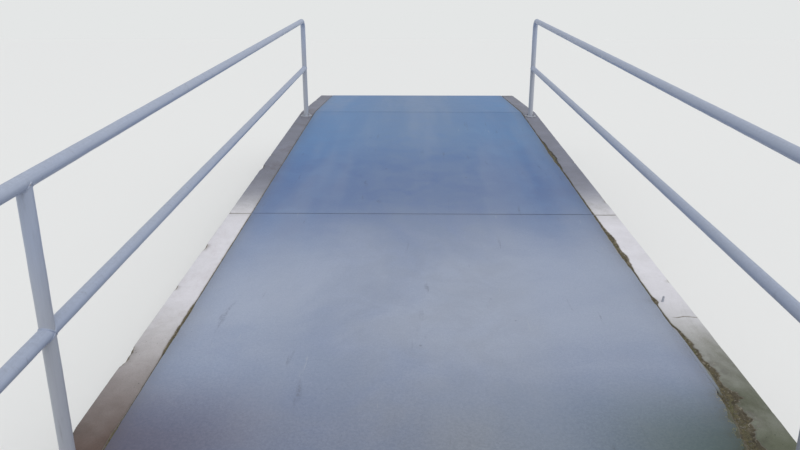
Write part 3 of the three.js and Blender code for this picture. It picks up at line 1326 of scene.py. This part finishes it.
dirtLook = {
    "fromFoot": 0.06,
    "fromHead": 0.02,
    "below": 0.003,  # the surface, in a joint that is hardly open
    "belowMore": 0.008,  # what the widest opening adds to that
    "lumps": 0.0055,
    "thickness": 0.03,
    "thinnest": 0.002,
    "clearance": 0.001,  # of the highest lumps below the surface
    "tuck": 0.003,  # how far it runs under the broken edges
    "columns": 11,
}


def addDirt(side):
    last = dirtLook["columns"] - 1
    rings = []
    for y in steps(rampFoot + dirtLook["fromFoot"], rampHead - dirtLook["fromHead"], rowSpacing(side)):
        surface = surfaceAt(y)
        share = openness(side, y)
        inner = slabEdge - brokenReach(side, "slab", y) - dirtLook["tuck"]
        outer = slabEdge + brokenReach(side, "wall", y) + dirtLook["tuck"]
        top = surface - min(dirtLook["below"] + dirtLook["belowMore"] * share, surface * 0.3)
        bottom = max(surface - dirtLook["thickness"], surface * 0.3)
        ring = []
        for i in range(last + 1):
            x = side * (inner + (outer - inner) * i / last)
            lump = dirtLook["lumps"] * (0.25 + share) * wander(x, y, scale=34, seed=101 + side, octaves=4)
            height = max(top + lump, bottom + dirtLook["thinnest"])
            height = min(height, surface - dirtLook["clearance"])
            mark = 0.0 if i in (0, last) else max(0.0, share - 0.1)
            ring.append((Vector((x, y, height)), mark))
        ring += [(Vector((x, y, bottom)), 0.0) for x in (side * outer, side * inner)]
        rings.append(ring)
    return addLoft(f"joint_dirt_{sideNames[side]}", rings, "open", "dirt")


dirtPieces = {side: addDirt(side) for side in sideNames}
print("joint dirt made")


# Geometry Nodes helpers

mergeWithin = 0.000005  # distance of points that become one after a tree has run


def applyTree(tree, mesh, values, name):
    # runs a tree on a mesh, with values by input name, and removes the objects among them
    carrier = addObject("carrier", mesh)
    modifier = carrier.modifiers.new("nodes", "NODES")
    modifier.node_group = tree
    sockets = {item.name: item.identifier for item in tree.interface.items_tree if item.in_out == "INPUT"}
    for label, value in values.items():
        modifier[sockets[label]] = value
    result = bakedMesh(carrier, [value for value in values.values() if isinstance(value, bpy.types.Object)])
    result.name = name
    return result


def newTree(name, inputs):
    # every tree takes Geometry first and its Material last
    inputs = {"Geometry": "Geometry", **inputs, "Material": "Material"}
    return newGroup(name, "GeometryNodeTree", inputs)


def closeTree(tree, geometry, material):
    real = wireFrom(tree, "GeometryNodeRealizeInstances", {"Geometry": geometry})
    final = wireFrom(tree, "GeometryNodeSetMaterial", {"Geometry": real, "Material": material})
    return closeGroup(tree, {"Geometry": final})


def curveOf(tree, path, step):
    # a path's curve with points every step, and the length along it
    curve = wireFrom(tree, "GeometryNodeMeshToCurve", {"Mesh": path})
    curve = wireFrom(tree, "GeometryNodeResampleCurve", {"Curve": curve, "Length": step}, mode="LENGTH")
    return curve, wireFrom(tree, "GeometryNodeSplineParameter", output="Length")


def circleOf(tree, sides, radius):
    return wireFrom(tree, "GeometryNodeCurvePrimitiveCircle", {"Resolution": sides, "Radius": radius})


def storedOn(tree, geometry, name, value):
    values = {"Geometry": geometry, "Name": name, "Value": value}
    return wireFrom(tree, "GeometryNodeStoreNamedAttribute", values)


def instancesOn(tree, points, source, rotation, scale=(1, 1, 1)):
    source = wireFrom(tree, "GeometryNodeObjectInfo", {"Object": source}, "Geometry")
    values = {"Points": points, "Instance": source, "Rotation": rotation, "Scale": scale}
    return wireFrom(tree, "GeometryNodeInstanceOnPoints", values)


def rotationBy(tree, **turns):
    # turns are in radians, by axis
    angles = wireFrom(tree, "ShaderNodeCombineXYZ", {axis.upper(): value for axis, value in turns.items()})
    return wireFrom(tree, "FunctionNodeEulerToRotation", {0: angles})


def makePipeTree():
    # a pipe along a path, with capped ends, a slightly uneven painted wall and places stored for its finish
    inputs = {"Radius": 0.024, "Sides": 40, "Step": 0.02, "Unevenness": 0.0003, "Seed": 0.0}
    tree, given = newTree("pipeAlongPath", inputs)
    curve, length = curveOf(tree, given["Geometry"], given["Step"])
    curve = storedOn(tree, curve, "along", length)
    circle = circleOf(tree, given["Sides"], given["Radius"])
    circle = storedOn(tree, circle, "around", wireFrom(tree, "GeometryNodeSplineParameter"))
    values = {"Curve": curve, "Profile Curve": circle, "Fill Caps": True}
    pipe = wireFrom(tree, "GeometryNodeCurveToMesh", values)
    place = wireFrom(tree, "GeometryNodeInputPosition")
    shift = wireFrom(tree, "ShaderNodeCombineXYZ", {0: given["Seed"], 1: given["Seed"]})
    place = wireFrom(tree, "ShaderNodeVectorMath", {0: place, 1: shift}, operation="ADD")
    dents = addMath("MINIMUM", addNoise(place, 9, 3) - 0.62, 0.0)
    values = {0: wireFrom(tree, "GeometryNodeInputNormal"), "Scale": dents * given["Unevenness"]}
    offset = wireFrom(tree, "ShaderNodeVectorMath", values, operation="SCALE")
    pipe = wireFrom(tree, "GeometryNodeSetPosition", {"Geometry": pipe, "Offset": offset})
    pipe = wireFrom(tree, "GeometryNodeSetShadeSmooth", {"Geometry": pipe})
    return closeTree(tree, pipe, given["Material"])


def makeWeldTree():
    # a rippled bead of weld along a closed path
    inputs = {"Bead Radius": 0.004, "Ripple": 0.0042, "Ripple Depth": 0.2, "Sides": 8}
    tree, given = newTree("weldBead", inputs)
    curve, length = curveOf(tree, given["Geometry"], given["Ripple"] / 4.0)
    wave = abs(addMath("SINE", length / given["Ripple"] * math.pi))
    hollow = (1.0 - wave) * given["Ripple Depth"]
    drift = addNoise(wireFrom(tree, "GeometryNodeInputPosition"), 70, 2)
    size = addMath("MINIMUM", drift + 0.5 - hollow, 1.0)
    circle = circleOf(tree, given["Sides"], given["Bead Radius"])
    bead = wireFrom(tree, "GeometryNodeCurveToMesh", {"Curve": curve, "Profile Curve": circle, "Scale": size})
    bead = wireFrom(tree, "GeometryNodeSetShadeSmooth", {"Geometry": bead})
    return closeTree(tree, bead, given["Material"])


def makeCrumbTree():
    # broken bits strewn over a piece, thickest where a stored mark is strongest
    inputs = {
        "Crumb": "Object",
        "Mark": "String",
        "Density": 1000.0,
        "Smallest": 0.001,
        "Largest": 0.005,
        "Seed": 1,
    }
    tree, given = newTree("strewnCrumbs", inputs)
    strength = wireFrom(tree, "GeometryNodeInputNamedAttribute", {"Name": given["Mark"]})
    lying = addMath("GREATER_THAN", partsOf(wireFrom(tree, "GeometryNodeInputNormal"))[2], 0.3)
    density = strength * lying * given["Density"]
    values = {"Mesh": given["Geometry"], "Density": density, "Seed": given["Seed"]}
    points = wireFrom(tree, "GeometryNodeDistributePointsOnFaces", values)
    values = {0: (0, 0, 0), 1: (6.3, 6.3, 6.3), "Seed": given["Seed"]}
    turn = wireFrom(tree, "FunctionNodeRandomValue", values, data_type="FLOAT_VECTOR")
    chance = wireFrom(tree, "FunctionNodeRandomValue", {2: 0.0, 3: 1.0, "Seed": given["Seed"]}, 1)
    few = addMath("POWER", chance, 3.0)
    size = given["Smallest"] + few * (given["Largest"] - given["Smallest"])
    rotation = wireFrom(tree, "FunctionNodeEulerToRotation", {0: turn})
    return closeTree(tree, instancesOn(tree, points, given["Crumb"], rotation, size), given["Material"])


def makeAnchorTree():
    # one anchor on each point, square to the slope and turned by chance
    tree, given = newTree("anchorsOnPoints", {"Anchor": "Object", "Slope": 0.0, "Seed": 4})
    spin = wireFrom(tree, "FunctionNodeRandomValue", {2: 0.0, 3: math.tau, "Seed": given["Seed"]}, 1)
    values = {"Rotation": rotationBy(tree, z=spin), "Rotate By": rotationBy(tree, x=given["Slope"])}
    turn = wireFrom(tree, "FunctionNodeRotateRotation", values, rotation_space="GLOBAL")
    return closeTree(tree, instancesOn(tree, given["Geometry"], given["Anchor"], turn), given["Material"])


pipeTree = makePipeTree()
weldTree = makeWeldTree()
crumbTree = makeCrumbTree()
anchorTree = makeAnchorTree()


# Crumbs of concrete on the dirt, and grit washed against the coating's edges

crumbLook = {
    "bits": {"Mark": "open", "Density": 11000.0, "Smallest": 0.0012, "Largest": 0.0065, "Seed": 5},
    "grit": {"Mark": "edge", "Density": 1500.0, "Smallest": 0.0005, "Largest": 0.0016, "Seed": 8},
    "bitsBroken": 0.75,  # how much of the broken concrete's look they have
    "unevenness": 0.28,
    "flatness": 0.72,
}


def addCrumb():
    chance = random.Random(3)
    shape = bmesh.new()
    bmesh.ops.create_icosphere(shape, subdivisions=1, radius=1.0)
    for vertex in shape.verts:
        vertex.co *= 1 + crumbLook["unevenness"] * (chance.random() - 0.6)
        vertex.co.z *= crumbLook["flatness"]
    return addObject("crumb", meshFrom(shape, "crumb"))


def strew(name, piece, kind, look, broken):
    values = {"Crumb": addCrumb(), "Material": finishes[look][0], **crumbLook[kind]}
    mesh = applyTree(crumbTree, piece.data, values, name)
    addMark(mesh, "broken", broken)
    finishMesh(name, mesh, look, sharpAngle=20)


for side, piece in dirtPieces.items():
    strew(f"crumbs_{sideNames[side]}", piece, "bits", "slab", crumbLook["bitsBroken"])
for number, piece in enumerate(coatings, 1):
    strew(f"grit_{number}", piece, "grit", "dirt", 0.0)
print("crumbs strewn")


# Handrails

railLook = {
    "height": 1.0,  # plumb, to the top of the pipe
    "midHeight": 0.5,  # plumb, to the pipe's axis
    "elbowRadius": 0.076,
    "elbowPoints": 32,
    "sides": 40,
    "step": 0.02,
    "elbowStep": 0.004,
    "unevenness": 0.0022,
    "clearance": 0.00005,  # keeps the fine bends inside the frame's coarser ones
    "plateThickness": 0.008,
    "intoPlate": 0.002,
    "footWear": 0.55,
    "footWearReach": 0.22,  # height over which a post's paint is more worn
    "weldRadius": 0.0030,
    "flushWeld": 0.0002,  # how far the ground welds of the bends stand out
    "weldPoints": 72,
    "weldSides": 8,
    "weldRipple": 0.0042,
    "weldRippleDepth": 0.22,
    "weldWear": 0.35,
}

uphill = Vector((0, math.cos(slope), math.sin(slope)))
acrossSlope = Vector((0, -math.sin(slope), math.cos(slope)))
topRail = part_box("top_rail_left")
pipeRadius = (topRail[1].x - topRail[0].x) / 2
topAxis = railLook["height"] - pipeRadius / math.cos(slope)
plateThickness = railLook["plateThickness"]


def onRail(x, y, height):
    return Vector((x, y, surfaceAt(y) + height))


def elbowPath(x, y, direction):
    # points of the bend between a post and the top rail, from the post's end to the rail's
    corner = onRail(x, y, topAxis)
    downward = Vector((0, 0, -1))
    half = downward.angle(direction) / 2
    reach = railLook["elbowRadius"] / math.tan(half)
    centre = corner + (downward + direction).normalized() * railLook["elbowRadius"] / math.sin(half)
    start = corner + downward * reach - centre
    end = corner + direction * reach - centre
    turn = start.rotation_difference(end)
    count = railLook["elbowPoints"]
    still = turn.copy()
    still.identity()
    return [centre + still.slerp(turn, i / count) @ start for i in range(count + 1)]


def addPipe(node, suffix, points, seed, foot=None, step=railLook["step"]):
    # foot is the height of a post's foot, near which its paint is worn
    name = node + suffix
    look = "rail" if foot is None else "post"
    values = {
        "Radius": pipeRadius - railLook["clearance"],
        "Sides": railLook["sides"],
        "Step": step,
        "Unevenness": railLook["unevenness"],
        "Seed": float(seed),
        "Material": finishes[look][0],
    }
    edges = [(i, i + 1) for i in range(len(points) - 1)]
    mesh = applyTree(pipeTree, meshOf("path", points, edges), values, name)
    turnOutward(mesh, mergeWithin)
    if foot is None:
        addMark(mesh, "wear", 0.0)
    else:
        shares = [clamped(1 - (vertex.co.z - foot) / railLook["footWearReach"]) for vertex in mesh.vertices]
        addMark(mesh, "wear", [share**2 * railLook["footWear"] for share in shares])
    finishMesh(name, mesh, look, node, sharpAngle=50)


def weldPath(pointAt):
    # a closed path through the points at equal turns
    count = railLook["weldPoints"]
    points = [pointAt(2 * math.pi * i / count) for i in range(count)]
    return meshOf("path", points, [(i, (i + 1) % count) for i in range(count)])


def ringWeld(centre, firstAxis, secondAxis, radius):
    return weldPath(lambda turn: centre + (firstAxis * math.cos(turn) + secondAxis * math.sin(turn)) * radius)


def midRailWeld(x, y, towards):
    # the saddle line where a mid rail meets a plumb post of the same size, on one side of it
    centre = onRail(x, y, railLook["midHeight"])

    def pointAt(turn):
        away = towards * abs(math.sin(turn)) + math.sin(turn) * math.sin(slope)
        away = away * pipeRadius / math.cos(slope)
        side = Vector((1, 0, 0)) * math.cos(turn) + acrossSlope * math.sin(turn)
        return centre + uphill * away + side * pipeRadius

    return weldPath(pointAt)


def postWeld(centre, saddle):
    # the line where a plumb post meets its sloping plate, or with a saddle of 1 the top rail above it
    def pointAt(turn):
        drop = math.sin(turn) * grade - saddle * abs(math.sin(turn)) / math.cos(slope)
        return centre + Vector((math.cos(turn), math.sin(turn), drop)) * pipeRadius

    return weldPath(pointAt)


def addWelds(name, paths):
    values = {
        "Bead Radius": railLook["weldRadius"],
        "Ripple": railLook["weldRipple"],
        "Ripple Depth": railLook["weldRippleDepth"],
        "Sides": railLook["weldSides"],
        "Material": finishes["rail"][0],
    }
    shape = bmesh.new()
    for path in paths:
        shape.from_mesh(applyTree(weldTree, path, values, "bead"))
    mesh = meshFrom(shape, name)
    turnOutward(mesh, mergeWithin)
    addMark(mesh, "wear", railLook["weldWear"])
    shadeSmooth(mesh)
    finishMesh(name, mesh, "rail", sharpAngle=60)


def addRailing(side):
    label = sideNames[side]
    x = side * postOffset
    last = len(postPlaces) - 1
    footBend = elbowPath(x, postPlaces[0], uphill)
    headBend = elbowPath(x, postPlaces[last], -uphill)
    addPipe(f"top_rail_{label}", "_pipe", [footBend[-1], headBend[-1]], 1 + side)
    addPipe(f"elbow_{label}_foot", "_bend", footBend, 2 + side, step=railLook["elbowStep"])
    addPipe(f"elbow_{label}_head", "_bend", headBend, 3 + side, step=railLook["elbowStep"])
    aside = Vector((1, 0, 0))
    sunk = pipeRadius - railLook["weldRadius"] + railLook["flushWeld"]
    lower = acrossSlope * -railLook["flushWeld"]  # so that no ring stands above the rail
    welds = [ringWeld(bend[0], aside, Vector((0, 1, 0)), sunk) for bend in (footBend, headBend)]
    welds += [ringWeld(bend[-1] + lower, aside, acrossSlope, sunk) for bend in (footBend, headBend)]
    for i, y in enumerate(postPlaces):
        foot = surfaceAt(y) + plateThickness
        top = {0: footBend[0], last: headBend[0]}.get(i, onRail(x, y, topAxis))
        path = [Vector((x, y, foot - railLook["intoPlate"])), top]
        addPipe(f"post_{label}_{i + 1}", "_pipe", path, 5 + i, foot)
        welds.append(postWeld(Vector((x, y, surfaceAt(y))) + acrossSlope * plateThickness, 0))
        if 0 < i < last:
            welds.append(postWeld(onRail(x, y, topAxis), 1))
        if i > 0:
            before = postPlaces[i - 1]
            ends = [onRail(x, place, railLook["midHeight"]) for place in (before, y)]
            addPipe(f"mid_rail_{label}_{i}", "_pipe", ends, 9 + i)
            welds += [midRailWeld(x, before, 1), midRailWeld(x, y, -1)]
    addWelds(f"welds_{label}", welds)


for side in sideNames:
    addRailing(side)
print("handrails made")


# Base plates and their anchors

plateLook = {
    "sides": 64,
    "edge": 0.0016,
    "lift": 0.0003,
    "wear": (0.25, 0.6),  # on top, and near the rim
    "rimFrom": 0.93,
    "anchorCircle": 0.0415,
    "anchorCount": 4,
    "anchorTurn": 45,
    "boltRadius": 0.005,
    "boltStickOut": 0.007,
    "nutAcross": 0.017,
    "nutHeight": 0.008,
    "washerRadius": 0.0105,
    "washerThickness": 0.002,
    "bevel": 0.0009,
}


def revolved(outline, sides):
    # a closed body turned from (radius, height) points, the first and last on the axis
    points = [Vector((0, 0, outline[0][1]))]
    for radius, z in outline[1:-1]:
        for i in range(sides):
            turn = 2 * math.pi * i / sides
            points.append(Vector((radius * math.cos(turn), radius * math.sin(turn), z)))
    points.append(Vector((0, 0, outline[-1][1])))
    faces = []
    rows = len(outline) - 2
    for i in range(sides):
        k = (i + 1) % sides
        faces.append((0, 1 + k, 1 + i))
        for row in range(rows - 1):
            base = 1 + row * sides
            faces.append((base + i, base + k, base + sides + k, base + sides + i))
        base = 1 + (rows - 1) * sides
        faces.append((base + i, base + k, len(points) - 1))
    return points, faces


def seatMatrix(side, y):
    turn = Matrix.Rotation(slope, 4, "X")
    return Matrix.Translation(onRail(side * postOffset, y, 0)) @ turn


def addPlate(side, number):
    node = f"base_plate_{sideNames[side]}_{number}"
    low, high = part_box(node)
    radius = (high.x - low.x) / 2
    edge = plateLook["edge"]
    outline = [
        (0, plateLook["lift"]),
        (radius - 0.0005, plateLook["lift"]),
        (radius, 0.001),
        (radius, plateThickness - edge),
        (radius - edge * 0.3, plateThickness - edge * 0.3),
        (radius - edge, plateThickness),
        (radius * 0.72, plateThickness + 0.0002),
        (0, plateThickness),
    ]
    points, faces = revolved(outline, plateLook["sides"])
    place = seatMatrix(side, postPlaces[number - 1])
    mesh = closedMesh(node + "_disc", [place @ p for p in points], faces)
    rim = radius * plateLook["rimFrom"]
    addMark(mesh, "wear", [plateLook["wear"][math.hypot(p.x, p.y) > rim] for p in points])
    finishMesh(node + "_disc", mesh, "foot", node, sharpAngle=50)


def orderedMesh(shape, name):
    # ends the work on a bmesh whose bevels leave their parts in an order that changes from run to run
    points = sorted(tuple(vertex.co) for vertex in shape.verts)
    numbers = {point: number for number, point in enumerate(points)}
    faces = []
    for face in shape.faces:
        corners = [numbers[tuple(vertex.co)] for vertex in face.verts]
        first = corners.index(min(corners))
        faces.append(corners[first:] + corners[:first])
    shape.free()
    return meshOf(name, points, faces=sorted(faces))


def addAnchor():
    # washer, six-sided nut with worn corners, and the bolt's end
    shape = bmesh.new()
    washer = plateLook["washerThickness"]
    nut = plateLook["nutHeight"]
    pieces = [
        (24, plateLook["washerRadius"], washer, 0.0),
        (6, plateLook["nutAcross"] / 2 / math.cos(math.pi / 6), nut, washer),
        (12, plateLook["boltRadius"], plateLook["boltStickOut"], washer + nut),
    ]
    for sides, radius, height, base in pieces:
        middle = base + height / 2
        made = bmesh.ops.create_cone(
            shape,
            cap_ends=True,
            segments=sides,
            radius1=radius,
            radius2=radius,
            depth=height,
            matrix=Matrix.Translation((0, 0, middle)),
        )
        edges = {edge for vertex in made["verts"] for edge in vertex.link_edges}
        rim = [edge for edge in edges if all(end.co.z > middle for end in edge.verts)]
        bmesh.ops.bevel(shape, geom=rim, offset=plateLook["bevel"], segments=2, affect="EDGES")
    return addObject("anchor", orderedMesh(shape, "anchor"))


def addAnchors(side):
    name = f"anchors_{sideNames[side]}"
    reach, count = plateLook["anchorCircle"], plateLook["anchorCount"]
    points = []
    for y in postPlaces:
        place = seatMatrix(side, y)
        for i in range(count):
            turn = math.radians(plateLook["anchorTurn"]) + math.tau * i / count
            points.append(place @ Vector((reach * math.cos(turn), reach * math.sin(turn), plateThickness)))
    values = {"Anchor": addAnchor(), "Slope": slope, "Seed": 4 + side, "Material": finishes["foot"][0]}
    mesh = applyTree(anchorTree, meshOf("anchorPoints", points), values, name)
    addMark(mesh, "wear", plateLook["wear"][1])
    shadeSmooth(mesh)
    finishMesh(name, mesh, "foot", sharpAngle=30)


for side in sideNames:
    for number in range(1, len(postPlaces) + 1):
        addPlate(side, number)
    addAnchors(side)
print("base plates made")


# Stub of an old bolt, cut off beside the right joint

stubLook = {
    "fromJoint": 0.037,
    "station": 3.45,
    "radius": 0.0055,
    "height": 0.032,
    "seat": 0.004,
    "lean": 6,
    "sides": 12,
    "wear": 0.4,
}


def addStub():
    radius, height = stubLook["radius"], stubLook["height"]
    shape = ((0, 0), (1, 0), (1.02, 0.4), (1, 0.9), (0.8, 1), (0, 1))
    points, faces = revolved([(radius * aside, height * up) for aside, up in shape], stubLook["sides"])
    y = rampFoot + stubLook["station"]
    foot = onRail(slabEdge + stubLook["fromJoint"], y, -stubLook["seat"])
    place = Matrix.Translation(foot) @ Matrix.Rotation(math.radians(stubLook["lean"]), 4, "Y")
    worn = [p * (1 + 0.1 * wander(p.x, p.y, p.z, scale=160, seed=5)) for p in points]
    mesh = closedMesh("bolt_stub", [place @ p for p in worn], faces)
    addMark(mesh, "wear", stubLook["wear"])
    finishMesh("bolt_stub", mesh, "foot", sharpAngle=50)


addStub()
print("bolt stub made")


# Floor and lights

studio = {
    "floorSize": 120,
    "floorColour": colour(226, 226, 225),
    "floorRoughness": 0.85,
    "floorBelow": 0.0015,
    "skyColour": (0.94, 0.97, 1.0, 1.0),
    "skyStrength": 0.66,
    "backdrop": colour(228, 230, 230),  # what the camera sees past the floor, in the lit floor's own tone
    "lampPower": 1.5,
    "lampSpread": 55,  # degrees, which makes its shadows soft
    "lampFrom": (0.3, -0.5, 1.0),
    "lampColour": (1.0, 0.985, 0.96),
}


def addFloor():
    half = studio["floorSize"] / 2
    corners = [(-half, -half, 0), (half, -half, 0), (half, half, 0), (-half, half, 0)]
    mesh = meshOf("floor", corners, faces=[(0, 1, 2, 3)])
    finish, _, shader = newFinish("studioFloor")
    shader.inputs["Base Color"].default_value = studio["floorColour"]
    shader.inputs["Roughness"].default_value = studio["floorRoughness"]
    mesh.materials.append(finish)
    floor = addObject("floor", mesh)
    floor.location.z = -studio["floorBelow"]


def addSky():
    # lights the scene, and shows the camera the backdrop instead
    world = bpy.data.worlds.new("studioSky")
    world.use_nodes = True
    tree = world.node_tree
    sky = tree.nodes["Background"]
    sky.inputs["Color"].default_value = studio["skyColour"]
    sky.inputs["Strength"].default_value = studio["skyStrength"]
    backdrop = wireFrom(tree, "ShaderNodeBackground", {"Color": studio["backdrop"]})
    seen = wireFrom(tree, "ShaderNodeLightPath", output="Is Camera Ray")
    both = wireFrom(tree, "ShaderNodeMixShader", {0: seen, 1: Wire(sky.outputs[0]), 2: backdrop})
    feed(tree.nodes["World Output"].inputs["Surface"], both)
    bpy.context.scene.world = world


def addLamp():
    lamp = bpy.data.lights.new("softLamp", "SUN")
    lamp.energy = studio["lampPower"]
    lamp.angle = math.radians(studio["lampSpread"])
    lamp.color = studio["lampColour"]
    light = addObject("softLamp", lamp)
    light.rotation_euler = Vector(studio["lampFrom"]).to_track_quat("Z", "Y").to_euler()


addFloor()
addSky()
addLamp()
print("studio set")
